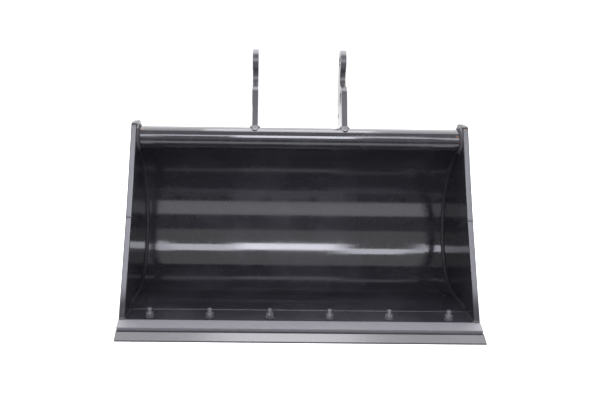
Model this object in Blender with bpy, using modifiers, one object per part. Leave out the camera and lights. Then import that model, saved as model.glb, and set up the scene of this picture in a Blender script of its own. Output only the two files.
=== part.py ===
"""A rigid grading bucket for a small excavator: a rolled shell between tapered side plates,
a bevelled lip with a bolted wear edge, a round top tube and two hanger ears.

Units are metres. X is the width, the mouth faces -Y and +Z is up. While the pieces are made,
Y = 0 is the foot of the side bars' front edges and Z = 0 is the top of the lip; the last
function moves everything so that the origin is under the middle of the bounding box.
"""
import math

import bmesh
import bpy
from mathutils import Matrix, Vector

# Overall sizes
WIDTH = 1.200            # over the outer faces of the side bars at the mouth
SIDE_TAPER = 0.055       # how much each side comes in for each metre towards the back
HEIGHT = 0.620           # lip top to the top of the side plates
KINK_HEIGHT = 0.313      # lip top to the kink in the side bars' front edges
LOWER_SLOPE = math.radians(65.4)   # front edge below the kink, from the floor
UPPER_SLOPE = math.radians(67.5)   # front edge above the kink
GAP = 0.0003             # fit-up gap that the welds bridge

# Lip and wear edge
LIP_T = 0.020
LIP_W = 0.150
LIP_NOSE_H = 0.008
LIP_BEVEL_RUN = 0.041
EDGE_T = 0.020
EDGE_W = 0.250
EDGE_NOSE_H = 0.005
EDGE_BEVEL_RUN = 0.034
EDGE_REACH = 0.053       # how far the wear edge stands in front of the lip's nose

# Fasteners (M16 plow bolts)
BOLT_COUNT = 6
BOLT_PITCH = 0.200
BOLT_D = 0.016
BOLT_HOLE_D = 0.0175
BOLT_HEAD_D = 0.031
BOLT_HEAD_H = 0.0085
BOLT_STUB = 0.0145       # thread that shows above the nut
BOLT_TIP_CHAMFER = 0.0016
ROUND_SIDES = 48         # for pins, bushes and bores
SMALL_SIDES = 24         # for bolts and small holes
CUT_PAST = 0.005         # how far a cutter runs past the face that it cuts
SINK_PAST = 0.001
HEAD_CLEARANCE = 0.0004
NUT_AF = 0.024
NUT_H = 0.013
NUT_BORE_GAP = 0.0002
NUT_FACE_SHARE = 0.96    # the nut's round face, as a share of its width across flats
NUT_CHAMFER = math.radians(30)
WASHER_D = 0.030
WASHER_T = 0.003

# Shell
SHELL_T = 0.008
FLOOR_LEN = 0.280        # flat floor, from the bars' feet
HEEL_R = 0.210           # lower roll
BACK_R = 0.320           # upper roll
BACK_ANGLE = math.radians(70.0)    # heading where the lower roll becomes the upper one
ARC_STEP = math.radians(3.0)
QUARTER = math.radians(90)

# Side plates
BAR_T = 0.020
BAR_W = 0.100
SHEET_T = 0.008
EDGE_PROUD = 0.006       # side plates stand this far outside the shell
BAR_TOP_LEN = 0.062
BAR_TOP_CHAMFER = 0.030
BAR_CORNER_R = 0.014

# Top tube
TUBE_D = 0.0761
TUBE_WALL = 0.0063
TUBE_Y = 0.300
TUBE_Z = 0.565
TUBE_BUTT_GAP = 0.0005
TUBE_SIDES = 64

# Ears
EAR_T = 0.020
EAR_INSIDE = 0.295
LOBE_R = 0.042
NECK_R = 0.032
PIN_D = 0.045
BUSH_D = 0.060
BUSH_GAP = 0.0003
PIN_FRONT = (0.391, 0.700)
PIN_REAR = (0.455, 0.824)
EAR_FOOT_ANGLE = math.radians(96.0)    # where the front edge leaves the tube
EAR_TAIL_DROP = 0.150    # how far the ear runs down the shell's back
LIFT_HOLE_D = 0.020
LIFT_HOLE = (0.452, 0.628)

# Runners under the floor, as thick as the step behind the wear edge
RUNNER_W = 0.060
RUNNER_LEN = 0.160
RUNNER_INSET = 0.160     # outer runners' middles, from the sides
RUNNER_SNIPE = 0.020
RUNNER_CLEAR = 0.012     # behind the wear edge's rear side

LIP_NOSE_Y = -0.044
LIP_REAR_Y = LIP_NOSE_Y + LIP_W
EDGE_NOSE_Y = LIP_NOSE_Y - EDGE_REACH
BOLT_Y = EDGE_NOSE_Y + EDGE_W / 2
RUNNER_X = (RUNNER_INSET - WIDTH / 2, -(EAR_INSIDE + EAR_T) / 2,
            (EAR_INSIDE + EAR_T) / 2, WIDTH / 2 - RUNNER_INSET)

PAINT = (0.030, 0.030, 0.034, 1.0)
WORN_PAINT = (0.055, 0.055, 0.060, 1.0)
BUSH_STEEL = (0.120, 0.118, 0.115, 1.0)

parts = None
cutters = None


# ---------------------------------------------------------------- scene helpers
def clear_scene():
    for old in list(bpy.data.objects):
        bpy.data.objects.remove(old, do_unlink=True)


def new_collection(name):
    made = bpy.data.collections.new(name)
    bpy.context.scene.collection.children.link(made)
    return made


def paint(name, colour, roughness, metallic):
    material = bpy.data.materials.new(name)
    material.use_nodes = True
    shader = material.node_tree.nodes["Principled BSDF"]
    shader.inputs["Base Color"].default_value = colour
    shader.inputs["Roughness"].default_value = roughness
    shader.inputs["Metallic"].default_value = metallic
    return material


def adopt(obj, name, colour=PAINT, roughness=0.35, metallic=0.0):
    """Name an object, put it in the parts collection and give it its own material."""
    obj.name = name
    for held in list(obj.users_collection):
        held.objects.unlink(obj)
    parts.objects.link(obj)
    obj.data.materials.clear()
    obj.data.materials.append(paint(name + "_paint", colour, roughness, metallic))
    obj.data.shade_smooth()
    obj.data.set_sharp_from_angle(angle=math.radians(35))
    return obj


def as_cutter(obj):
    """Put an object in the cutters collection and hide it from renders."""
    for held in list(obj.users_collection):
        held.objects.unlink(obj)
    cutters.objects.link(obj)
    obj.hide_render = True
    obj.display_type = 'WIRE'
    return obj


def cut(obj, cutter, operation='DIFFERENCE'):
    modifier = obj.modifiers.new(cutter.name, 'BOOLEAN')
    modifier.operation = operation
    modifier.solver = 'EXACT'
    modifier.object = cutter


def flat_plate(outline, thickness, name):
    """A flat outline in the YZ plane, thickened equally to both sides along X, as a mesh."""
    curve = bpy.data.curves.new(name, 'CURVE')
    curve.dimensions = '2D'
    curve.fill_mode = 'BOTH'
    curve.extrude = thickness / 2
    spline = curve.splines.new('POLY')
    spline.points.add(len(outline) - 1)
    spline.use_cyclic_u = True
    for point, (y, z) in zip(spline.points, outline):
        point.co = (y, z, 0, 1)
    drawn = bpy.data.objects.new(name + "_outline", curve)
    bpy.context.scene.collection.objects.link(drawn)
    # The curve's own x, y, z become Y, Z, X.
    drawn.matrix_world = Matrix(((0, 0, 1, 0), (1, 0, 0, 0), (0, 1, 0, 0), (0, 0, 0, 1)))
    bpy.context.view_layer.update()
    evaluated = drawn.evaluated_get(bpy.context.evaluated_depsgraph_get())
    mesh = bpy.data.meshes.new_from_object(evaluated)
    mesh.transform(drawn.matrix_world)
    weld(mesh)
    made = bpy.data.objects.new(name, mesh)
    bpy.context.scene.collection.objects.link(made)
    bpy.data.objects.remove(drawn, do_unlink=True)
    return made


def weld(mesh):
    """Close the loose caps of a mesh made from a curve."""
    edit = bmesh.new()
    edit.from_mesh(mesh)
    bmesh.ops.remove_doubles(edit, verts=edit.verts, dist=1e-6)
    bmesh.ops.recalc_face_normals(edit, faces=edit.faces)
    edit.to_mesh(mesh)
    edit.free()


def cylinder(radius, length, axis, centre, name, sides=ROUND_SIDES, radius_end=None):
    """A cylinder or cone along X or Z; radius_end is the radius at the axis's far end."""
    bpy.ops.mesh.primitive_cone_add(
        vertices=sides, radius1=radius, radius2=radius if radius_end is None else radius_end,
        depth=length, location=(0, 0, 0))
    made = bpy.context.object
    turn = Matrix.Rotation(math.radians(90), 4, 'Y') if axis == 'X' else Matrix.Identity(4)
    made.data.transform(Matrix.Translation(Vector(centre)) @ turn)
    made.name = name
    return made


def join_meshes(objects, name):
    """Keep several loose solids in one object, for a cutter that works in many places."""
    edit = bmesh.new()
    for obj in objects:
        edit.from_mesh(obj.data)
        bpy.data.objects.remove(obj, do_unlink=True)
    mesh = bpy.data.meshes.new(name)
    edit.to_mesh(mesh)
    edit.free()
    made = bpy.data.objects.new(name, mesh)
    bpy.context.scene.collection.objects.link(made)
    return made


# ---------------------------------------------------------------- outline helpers
def arc(centre, radius, start, end, step=ARC_STEP):
    """Points round a centre from one angle to another, both ends included."""
    count = max(2, math.ceil(abs(end - start) / step))
    angles = [start + (end - start) * i / count for i in range(count + 1)]
    return [(centre[0] + radius * math.cos(a), centre[1] + radius * math.sin(a)) for a in angles]


def ahead(point, heading, distance):
    return (point[0] + distance * math.cos(heading), point[1] + distance * math.sin(heading))


def tangent_angle(point, centre, radius, side):
    """Angle at the centre of the point where a line from an outside point touches a circle."""
    dy, dz = point[0] - centre[0], point[1] - centre[1]
    return math.atan2(dz, dy) + side * math.acos(radius / math.hypot(dy, dz))


def where_lines_meet(p, p_heading, q, q_heading):
    cross = math.sin(q_heading - p_heading)
    dy, dz = q[0] - p[0], q[1] - p[1]
    distance = (dy * math.sin(q_heading) - dz * math.cos(q_heading)) / cross
    return ahead(p, p_heading, distance)


def half_width(y, wall):
    """Distance from the middle plane to a side's face, wall inside its outer face."""
    return WIDTH / 2 - wall - SIDE_TAPER * y


def stretch_between_sides(obj, wall):
    """Put the ends of a piece against the tapered sides' inner faces."""
    for vertex in obj.data.vertices:
        vertex.co.x = math.copysign(half_width(vertex.co.y, wall) - GAP, vertex.co.x)


def lean_with_side(obj, wall, side):
    """Move a plate that was made round X = 0 out to a tapered side; wall is its thickness."""
    for vertex in obj.data.vertices:
        vertex.co.x = side * (half_width(vertex.co.y, wall / 2) + vertex.co.x)
    if side < 0:
        obj.data.flip_normals()


# ---------------------------------------------------------------- shell
def back_centre():
    """Centre of the upper roll, which carries on from the lower one without a corner."""
    return ahead((FLOOR_LEN, HEEL_R), BACK_ANGLE - QUARTER, HEEL_R - BACK_R)


def tube_heading():
    """Heading of the straight that leaves the upper roll and points at the tube's middle."""
    centre = back_centre()
    dy, dz = TUBE_Y - centre[0], TUBE_Z - centre[1]
    return math.atan2(dz, dy) + math.asin(BACK_R / math.hypot(dy, dz))


def shell_path(outward):
    """The shell's line from the lip to the upper roll's end, a distance outside its inner face."""
    points = [(LIP_REAR_Y + GAP, -outward)]
    points += arc((FLOOR_LEN, HEEL_R), HEEL_R + outward, -QUARTER, BACK_ANGLE - QUARTER)
    points += arc(back_centre(), BACK_R + outward, BACK_ANGLE - QUARTER, tube_heading() - QUARTER)[1:]
    return points


def shell_end(outward):
    """Where the shell's top line meets the tube, a given distance outside its inner face."""
    start = shell_path(outward)[-1]
    reach = TUBE_D / 2 + TUBE_BUTT_GAP
    dy, dz = TUBE_Y - start[0], TUBE_Z - start[1]
    heading = tube_heading()
    along = dy * math.cos(heading) + dz * math.sin(heading)
    aside = dz * math.cos(heading) - dy * math.sin(heading)
    return ahead(start, heading, along - math.sqrt(reach ** 2 - aside ** 2))


def bar_room(side, word):
    """A cutter that keeps the shell's upper corner clear of a side bar."""
    kink, top = front_edge()[1:]
    rear = rear_line(kink, UPPER_SLOPE, GAP)
    rear_top = where_lines_meet(rear, UPPER_SLOPE, (0.0, HEIGHT), 0.0)
    room = flat_plate([kink, rear, rear_top, top], BAR_T + 2 * GAP, "bar_room_" + word)
    lean_with_side(room, BAR_T, side)
    return as_cutter(room)


def make_shell():
    inner = shell_path(0.0) + [shell_end(0.0)]
    outer = shell_path(SHELL_T) + [shell_end(SHELL_T)]
    shell = flat_plate(inner + outer[::-1], 1.0, "shell")
    stretch_between_sides(shell, SHEET_T)
    cut(shell, bar_room(-1, "left"))
    cut(shell, bar_room(1, "right"))
    adopt(shell, "shell")


# ---------------------------------------------------------------- side plates
def front_edge():
    """Foot, kink and top of the side bars' front edge."""
    foot = (0.0, GAP)
    kink = (KINK_HEIGHT / math.tan(LOWER_SLOPE), KINK_HEIGHT)
    top = (kink[0] + (HEIGHT - KINK_HEIGHT) / math.tan(UPPER_SLOPE), HEIGHT)
    return foot, kink, top


def rear_line(start, slope, inset=0.0):
    """A point on the line that is a bar's width behind a front edge."""
    return ahead(start, slope - QUARTER, BAR_W + inset)


def make_side_bars(side, word):
    foot, kink, top = front_edge()
    lower_rear = rear_line(foot, LOWER_SLOPE)
    upper_rear = rear_line(kink, UPPER_SLOPE)
    heel = where_lines_meet(lower_rear, LOWER_SLOPE, (0.0, GAP), 0.0)
    rear_kink = where_lines_meet(lower_rear, LOWER_SLOPE, upper_rear, UPPER_SLOPE)
    joint = math.atan2(rear_kink[1] - kink[1], rear_kink[0] - kink[0])
    square = joint + QUARTER
    lower = [foot, heel, ahead(rear_kink, square, -GAP / 2), ahead(kink, square, -GAP / 2)]
    bar = flat_plate(lower, BAR_T, "lower")
    lean_with_side(bar, BAR_T, side)
    adopt(bar, "side_bar_lower_" + word)

    corner = (top[0] + BAR_TOP_LEN, HEIGHT)
    shoulder = where_lines_meet(upper_rear, UPPER_SLOPE, (0.0, HEIGHT - BAR_TOP_CHAMFER), 0.0)
    nose = (top[0] + BAR_CORNER_R * math.tan(UPPER_SLOPE / 2), HEIGHT - BAR_CORNER_R)
    rounded = arc(nose, BAR_CORNER_R, QUARTER, UPPER_SLOPE + QUARTER, math.radians(15))
    upper = [ahead(rear_kink, square, GAP / 2), shoulder, corner] + rounded
    upper.append(ahead(kink, square, GAP / 2))
    bar = flat_plate(upper, BAR_T, "upper")
    lean_with_side(bar, BAR_T, side)
    adopt(bar, "side_bar_upper_" + word)


def make_side_sheet(side, word):
    foot, kink, top = front_edge()
    lower_rear = rear_line(foot, LOWER_SLOPE, GAP)
    upper_rear = rear_line(kink, UPPER_SLOPE, GAP)
    rear_kink = where_lines_meet(lower_rear, LOWER_SLOPE, upper_rear, UPPER_SLOPE)
    heel = where_lines_meet(lower_rear, LOWER_SLOPE, (0.0, 0.0), 0.0)
    outside = shell_path(SHELL_T + EDGE_PROUD)
    meets_bar = where_lines_meet(outside[-1], tube_heading(), upper_rear, UPPER_SLOPE)
    outline = [rear_kink, heel, (LIP_REAR_Y + GAP, 0.0)] + outside + [meets_bar]
    sheet = flat_plate(outline, SHEET_T, "sheet")
    lean_with_side(sheet, SHEET_T, side)
    adopt(sheet, "side_sheet_" + word)


# ---------------------------------------------------------------- lip, wear edge, fasteners
def bolt_places():
    return [(i - (BOLT_COUNT - 1) / 2) * BOLT_PITCH for i in range(BOLT_COUNT)]


def bolt_holes(name, bottom, top):
    drills = [cylinder(BOLT_HOLE_D / 2, top - bottom, 'Z', (x, BOLT_Y, (top + bottom) / 2), "drill",
                       SMALL_SIDES)
              for x in bolt_places()]
    return as_cutter(join_meshes(drills, name))


def make_lip():
    outline = [(LIP_NOSE_Y, -LIP_T), (LIP_REAR_Y, -LIP_T), (LIP_REAR_Y, 0.0),
               (LIP_NOSE_Y + LIP_BEVEL_RUN, 0.0), (LIP_NOSE_Y, LIP_NOSE_H - LIP_T)]
    lip = flat_plate(outline, WIDTH, "lip")
    cut(lip, bolt_holes("lip_drill", -LIP_T - CUT_PAST, CUT_PAST))
    adopt(lip, "lip_plate")


def make_wear_edge():
    top = -LIP_T - GAP
    bottom = top - EDGE_T
    rear = EDGE_NOSE_Y + EDGE_W
    outline = [(EDGE_NOSE_Y, bottom), (rear, bottom), (rear, bottom + EDGE_NOSE_H),
               (rear - EDGE_BEVEL_RUN, top), (EDGE_NOSE_Y + EDGE_BEVEL_RUN, top),
               (EDGE_NOSE_Y, bottom + EDGE_NOSE_H)]
    edge = flat_plate(outline, WIDTH, "edge")
    cut(edge, bolt_holes("edge_drill", bottom - CUT_PAST, top + CUT_PAST))
    sinks = []
    for x in bolt_places():
        depth = BOLT_HEAD_H + SINK_PAST
        wide = BOLT_HEAD_D / 2 + HEAD_CLEARANCE
        narrow = BOLT_D / 2 + HEAD_CLEARANCE
        slope = (wide - narrow) / BOLT_HEAD_H
        sinks.append(cylinder(wide + SINK_PAST * slope, depth, 'Z',
                              (x, BOLT_Y, bottom - SINK_PAST + depth / 2), "sink", ROUND_SIDES, narrow))
    cut(edge, as_cutter(join_meshes(sinks, "edge_sink")))
    adopt(edge, "bolt_on_edge", WORN_PAINT, 0.4)


def turned(profile, name, sides, place):
    """A closed radius and height profile turned round Z with a Screw modifier."""
    mesh = bpy.data.meshes.new(name)
    edges = [(i, i + 1) for i in range(len(profile) - 1)]
    mesh.from_pydata([(r, 0.0, z) for r, z in profile], edges, [])
    made = bpy.data.objects.new(name, mesh)
    bpy.context.scene.collection.objects.link(made)
    screw = made.modifiers.new("turn", 'SCREW')
    screw.steps = sides
    screw.render_steps = sides
    screw.use_merge_vertices = True
    screw.merge_threshold = 0.0001
    made.location = place
    return made


def make_fasteners():
    bottom = -LIP_T - GAP - EDGE_T
    seat = GAP
    nut_seat = seat + WASHER_T + GAP
    tip = nut_seat + NUT_H + BOLT_STUB
    for i, x in enumerate(bolt_places()):
        number = str(i + 1)
        r = BOLT_D / 2
        bolt = turned([(0.0, tip), (r - BOLT_TIP_CHAMFER, tip), (r, tip - BOLT_TIP_CHAMFER),
                       (r, bottom + BOLT_HEAD_H), (BOLT_HEAD_D / 2, bottom), (0.0, bottom)],
                      "bolt", SMALL_SIDES, (x, BOLT_Y, 0))
        adopt(bolt, "plow_bolt_" + number)
        ring = [(r + GAP, 0.0), (r + GAP, WASHER_T), (WASHER_D / 2, WASHER_T), (WASHER_D / 2, 0.0),
                (r + GAP, 0.0)]
        washer = turned(ring, "washer", ROUND_SIDES, (x, BOLT_Y, seat))
        adopt(washer, "washer_" + number)
        make_nut(x, nut_seat, number, math.radians(11 + 23 * i))


def make_nut(x, seat, number, turn):
    """A hexagon nut whose corners are turned off at 30 degrees, top and bottom."""
    corner = NUT_AF / 2 / math.cos(math.radians(30))
    nut = cylinder(corner, NUT_H, 'Z', (0, 0, 0), "nut", 6)
    nut.data.transform(Matrix.Rotation(turn, 4, 'Z'))
    face = NUT_AF / 2 * NUT_FACE_SHARE
    wide = corner + SINK_PAST
    drop = (wide - face) * math.tan(NUT_CHAMFER)
    half = NUT_H / 2
    profile = [(0.0, half), (face, half), (wide, half - drop), (wide, drop - half), (face, -half),
               (0.0, -half)]
    blank = as_cutter(turned(profile, "nut_blank_" + number, ROUND_SIDES, (x, BOLT_Y, seat + half)))
    bore = as_cutter(cylinder(BOLT_D / 2 + NUT_BORE_GAP, NUT_H + CUT_PAST, 'Z', (0, 0, 0), "nut_bore",
                              SMALL_SIDES))
    bore.location = (x, BOLT_Y, seat + half)
    nut.location = (x, BOLT_Y, seat + half)
    cut(nut, blank, 'INTERSECT')
    cut(nut, bore)
    adopt(nut, "hex_nut_" + number)


# ---------------------------------------------------------------- tube, ears, runners
def make_tube():
    """A pipe from one side bar to the other; its ends follow the sides' taper."""
    centre = (0, TUBE_Y, TUBE_Z)
    outer = cylinder(TUBE_D / 2, WIDTH, 'X', centre, "tube", TUBE_SIDES)
    stretch_between_sides(outer, BAR_T)
    bore = cylinder(TUBE_D / 2 - TUBE_WALL, WIDTH * 1.2, 'X', centre, "tube_bore")
    cut(outer, as_cutter(bore))
    adopt(outer, "top_tube")


def ear_outline():
    """From the tube's crown up over the two lobes and back down along the shell."""
    tube = (TUBE_Y, TUBE_Z)
    clear = TUBE_D / 2 + GAP
    foot = ahead(tube, EAR_FOOT_ANGLE, clear)
    rise = tangent_angle(foot, PIN_FRONT, LOBE_R, -1)
    between = math.atan2(PIN_REAR[1] - PIN_FRONT[1], PIN_REAR[0] - PIN_FRONT[0])
    distance = math.hypot(PIN_REAR[0] - PIN_FRONT[0], PIN_REAR[1] - PIN_FRONT[1])
    opening = math.acos(distance / 2 / (LOBE_R + NECK_R))
    neck = ahead(PIN_FRONT, between + opening, LOBE_R + NECK_R)
    outside = shell_path(SHELL_T + GAP)
    over = shell_end(SHELL_T + GAP)
    tail = [p for p in outside if HEEL_R < p[1] and p[1] > outside[-1][1] - EAR_TAIL_DROP]
    back = tangent_angle(tail[0], PIN_REAR, LOBE_R, 1)
    points = arc(PIN_FRONT, LOBE_R, rise % math.tau, between + opening)
    points += arc(neck, NECK_R, between + opening - math.pi, between - opening)[1:-1]
    points += arc(PIN_REAR, LOBE_R, between - opening + math.pi, back)
    points += tail
    points.append(over)
    start = math.atan2(over[1] - TUBE_Z, over[0] - TUBE_Y)
    points += arc(tube, clear, start, EAR_FOOT_ANGLE)
    return points


def make_ear(side, word):
    middle = side * (EAR_INSIDE + EAR_T) / 2
    ear = flat_plate(ear_outline(), EAR_T, "ear")
    ear.data.transform(Matrix.Translation((middle, 0, 0)))
    drills = [cylinder(BUSH_D / 2 + BUSH_GAP, EAR_T * 2, 'X', (middle, *PIN_FRONT), "drill"),
              cylinder(BUSH_D / 2 + BUSH_GAP, EAR_T * 2, 'X', (middle, *PIN_REAR), "drill"),
              cylinder(LIFT_HOLE_D / 2, EAR_T * 2, 'X', (middle, *LIFT_HOLE), "drill", SMALL_SIDES)]
    cut(ear, as_cutter(join_meshes(drills, "ear_drill_" + word)))
    adopt(ear, "ear_" + word)
    for place, pin in (("front", PIN_FRONT), ("rear", PIN_REAR)):
        bush = cylinder(BUSH_D / 2, EAR_T, 'X', (middle, *pin), "bush")
        cut(bush, as_cutter(cylinder(PIN_D / 2, EAR_T * 2, 'X', (middle, *pin), "pin_" + word + place)))
        adopt(bush, "bush_" + place + "_" + word, BUSH_STEEL, 0.3, 1.0)


def make_runners():
    """Flat bars under the floor that carry the heel at the height of the wear edge."""
    top = -SHELL_T - GAP
    heel = (FLOOR_LEN, HEEL_R)
    heel_r = HEEL_R + SHELL_T + GAP
    bottom = -LIP_T - GAP - EDGE_T
    front = EDGE_NOSE_Y + EDGE_W + RUNNER_CLEAR
    rear = front + RUNNER_LEN
    upturn = math.asin((rear - FLOOR_LEN) / heel_r)
    outline = [(front, bottom + RUNNER_SNIPE), (front + RUNNER_SNIPE, bottom),
               (rear - RUNNER_SNIPE, bottom), (rear, bottom + RUNNER_SNIPE)]
    outline += arc(heel, heel_r, upturn - QUARTER, -QUARTER) + [(front, top)]
    for i, x in enumerate(RUNNER_X):
        runner = flat_plate(outline, RUNNER_W, "runner")
        runner.data.transform(Matrix.Translation((x, 0, 0)))
        adopt(runner, "runner_" + str(i + 1), WORN_PAINT, 0.45)


def stand_on_origin():
    """Move every piece so that the origin is under the middle of the bounding box."""
    bpy.context.view_layer.update()
    depsgraph = bpy.context.evaluated_depsgraph_get()
    corners = []
    for obj in parts.objects:
        evaluated = obj.evaluated_get(depsgraph)
        corners += [evaluated.matrix_world @ Vector(corner) for corner in evaluated.bound_box]
    ys = [corner.y for corner in corners]
    shift = Vector((0, -(min(ys) + max(ys)) / 2, -min(corner.z for corner in corners)))
    for obj in list(parts.objects) + list(cutters.objects):
        obj.location += shift
    print("moved by", [round(value, 5) for value in shift])


def main():
    global parts, cutters
    clear_scene()
    parts = new_collection("grading_bucket")
    cutters = new_collection("cutters")
    make_shell()
    make_lip()
    make_wear_edge()
    make_fasteners()
    make_tube()
    for side, word in ((-1, "left"), (1, "right")):
        make_side_bars(side, word)
        make_side_sheet(side, word)
        make_ear(side, word)
    make_runners()
    stand_on_origin()


main()
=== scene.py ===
# %% [markdown]
# # A grading bucket for a small excavator
# The solids of this bucket are already drawn to size and never change here. This lesson gives them
# the look of the real thing: rolled plate with soft cut edges, weld beads in every corner, threaded
# bolts, and a thick coat of gloss dark grey paint. Every length is in metres.

import math

import bmesh
import bpy
import numpy as np
from mathutils import Matrix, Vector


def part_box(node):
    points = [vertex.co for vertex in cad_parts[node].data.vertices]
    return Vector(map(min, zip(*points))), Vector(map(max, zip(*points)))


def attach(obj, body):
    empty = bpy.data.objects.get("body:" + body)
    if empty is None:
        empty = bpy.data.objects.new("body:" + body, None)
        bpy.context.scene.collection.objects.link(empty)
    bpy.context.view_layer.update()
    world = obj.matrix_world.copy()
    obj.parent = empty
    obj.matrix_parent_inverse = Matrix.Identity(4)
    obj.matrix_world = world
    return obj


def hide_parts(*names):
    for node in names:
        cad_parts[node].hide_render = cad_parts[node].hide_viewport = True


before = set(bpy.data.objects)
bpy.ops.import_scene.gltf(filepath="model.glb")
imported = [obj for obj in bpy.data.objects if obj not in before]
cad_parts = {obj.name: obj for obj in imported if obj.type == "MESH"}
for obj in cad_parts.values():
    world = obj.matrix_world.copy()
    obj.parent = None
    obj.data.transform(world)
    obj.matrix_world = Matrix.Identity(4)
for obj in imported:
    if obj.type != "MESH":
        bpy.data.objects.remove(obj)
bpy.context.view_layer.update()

# %% [markdown]
# ## The bucket's own axes
# A fabricator measures a bucket from the lip: Y runs back from the foot of the side bars and Z up
# from the top of the lip. The solids stand on the ground instead, so one fixed step carries a point
# from the fabricator's axes to the ground's. The lip plate, whose nose is 44 mm in front of the
# bars, gives that step without measuring anything by eye.

# %% From the lip's axes to the ground's
LIP_NOSE_Y, LIP_REAR_Y, LIP_T = -0.044, 0.106, 0.020
lip_low, lip_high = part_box("lip_plate")
STEP = np.array([0.0, lip_low.y - LIP_NOSE_Y, lip_high.z])
print("step from lip to ground", np.round(STEP, 5))

# %% [markdown]
# ## The line of the shell
# The shell is one plate: a flat floor, a roll at the heel, a wider roll up the back, and a short
# straight that ends on the top tube. Seen from the side it is a line made of straights and arcs, and
# most of the weld beads follow it, so it is worked out once, as an array of points with the
# direction that faces into the bowl at each of them.

# %% Shell sizes and line
SHELL_T, FLOOR_END, HEEL_R, BACK_R = 0.008, 0.280, 0.210, 0.320
BACK_ANGLE, QUARTER, SEAM_GAP = math.radians(70.0), math.pi / 2, 0.0003
TUBE_R, TUBE_GAP, TUBE_MIDDLE = 0.03805, 0.0005, np.array([0.300, 0.565])
FLOOR_ROWS, STRAIGHT_ROWS, ROLL_STEP = 24, 20, math.radians(1.0)


def compass(angle):
    """Unit arrows (y, z) at an angle, or at an array of angles, from the floor's direction."""
    return np.stack([np.cos(angle), np.sin(angle)], -1)


HEEL_MIDDLE = np.array([FLOOR_END, HEEL_R])
BACK_MIDDLE = HEEL_MIDDLE + (HEEL_R - BACK_R) * compass(BACK_ANGLE - QUARTER)
to_tube = TUBE_MIDDLE - BACK_MIDDLE
TUBE_HEADING = math.atan2(to_tube[1], to_tube[0]) + math.asin(BACK_R / np.linalg.norm(to_tube))


def shell_line(outward):
    """Points (y, z) and inward arrows of the shell's line, moved outward by a distance.

    The floor is straight. On a roll, the point at angle a is the roll's middle plus (radius +
    outward) times (cos a, sin a), and the inward arrow is minus (cos a, sin a). The last straight
    runs from the upper roll to the tube's skin.
    """
    floor_y = np.linspace(LIP_REAR_Y + SEAM_GAP, FLOOR_END, FLOOR_ROWS)[:-1]
    heel = np.arange(-QUARTER, BACK_ANGLE - QUARTER, ROLL_STEP)
    back = np.arange(BACK_ANGLE - QUARTER, TUBE_HEADING - QUARTER, ROLL_STEP)
    out, along = compass(TUBE_HEADING - QUARTER), compass(TUBE_HEADING)
    start = BACK_MIDDLE + (BACK_R + outward) * out
    aside, reach = (TUBE_MIDDLE - start) @ out, TUBE_R + TUBE_GAP
    run = (TUBE_MIDDLE - start) @ along - math.sqrt(reach ** 2 - aside ** 2)
    climb = np.linspace(0, run, STRAIGHT_ROWS)[:, None]
    points = np.vstack([np.stack([floor_y, np.full(len(floor_y), -outward)], 1),
                        HEEL_MIDDLE + (HEEL_R + outward) * compass(heel),
                        BACK_MIDDLE + (BACK_R + outward) * compass(back),
                        start + along * climb])
    inward = np.vstack([np.tile([0.0, 1.0], (len(floor_y), 1)), -compass(heel), -compass(back),
                        np.tile(-out, (len(climb), 1))])
    return points, inward


inner_line, inner_facing = shell_line(0.0)
outer_line, outer_facing = shell_line(SHELL_T)
print("shell line", len(inner_line), "points, up to", np.round(inner_line[-1], 4))

# %% [markdown]
# ## The tapered sides
# Each side leans in towards the back by 55 mm for every metre, which lets sticky soil fall out. The
# side plates lean with it, so the distance from the middle to a side is a simple slope in Y.

# %% Half width at any depth, and the bars' front edge
WIDTH, TAPER, BAR_T, SHEET_T, BAR_W = 1.200, 0.055, 0.020, 0.008, 0.100
KINK_Z = 0.313
LOWER_SLOPE, UPPER_SLOPE = math.radians(65.4), math.radians(67.5)
KINK_Y = KINK_Z / math.tan(LOWER_SLOPE)


def half_width(y, wall=0.0):
    """Half the width at depth y, less a wall: half the mouth's width minus wall minus taper times y."""
    return WIDTH / 2 - wall - TAPER * np.asarray(y)


def behind_front(y, z):
    """How far a point lies behind the upper bar's front edge, square to that edge."""
    return (y - KINK_Y) * math.sin(UPPER_SLOPE) - (z - KINK_Z) * math.cos(UPPER_SLOPE)


print("half width at the mouth and at the back", half_width(0.0), round(float(half_width(0.5)), 4))

# %% [markdown]
# ## From arrays to meshes
# Every new piece is a grid: rows of points along one parameter, columns along another. One helper
# turns such a grid into a closed mesh. The columns always close into a ring, and the two ends are
# either joined to each other or shut with a point in the middle.

# %% Grid to mesh, and how a piece joins the frame
def skin(name, grid, joined=False):
    """A mesh from a (rows, columns, 3) grid whose columns form rings; ends are joined or capped."""
    rows, columns = grid.shape[:2]
    index = np.arange(rows * columns).reshape(rows, columns)
    ahead = np.roll(index, -1, axis=1)
    below, above = (index, np.roll(index, -1, axis=0)) if joined else (index[:-1], index[1:])
    below_next, above_next = (ahead, np.roll(ahead, -1, axis=0)) if joined else (ahead[:-1], ahead[1:])
    quads = np.stack([below, below_next, above_next, above], -1).reshape(-1, 4)
    points = grid.reshape(-1, 3)
    fans = np.empty((0, 3), int)
    if not joined:
        points = np.vstack([points, grid[0].mean(0), grid[-1].mean(0)])
        first, last = len(points) - 2, len(points) - 1
        start_fan = np.stack([ahead[0], index[0], np.full(columns, first)], 1)
        end_fan = np.stack([index[-1], ahead[-1], np.full(columns, last)], 1)
        fans = np.vstack([start_fan, end_fan])
    mesh = bpy.data.meshes.new(name)
    mesh.from_pydata(points.tolist(), [], quads.tolist() + fans.tolist())
    mesh.update()
    return mesh


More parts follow.
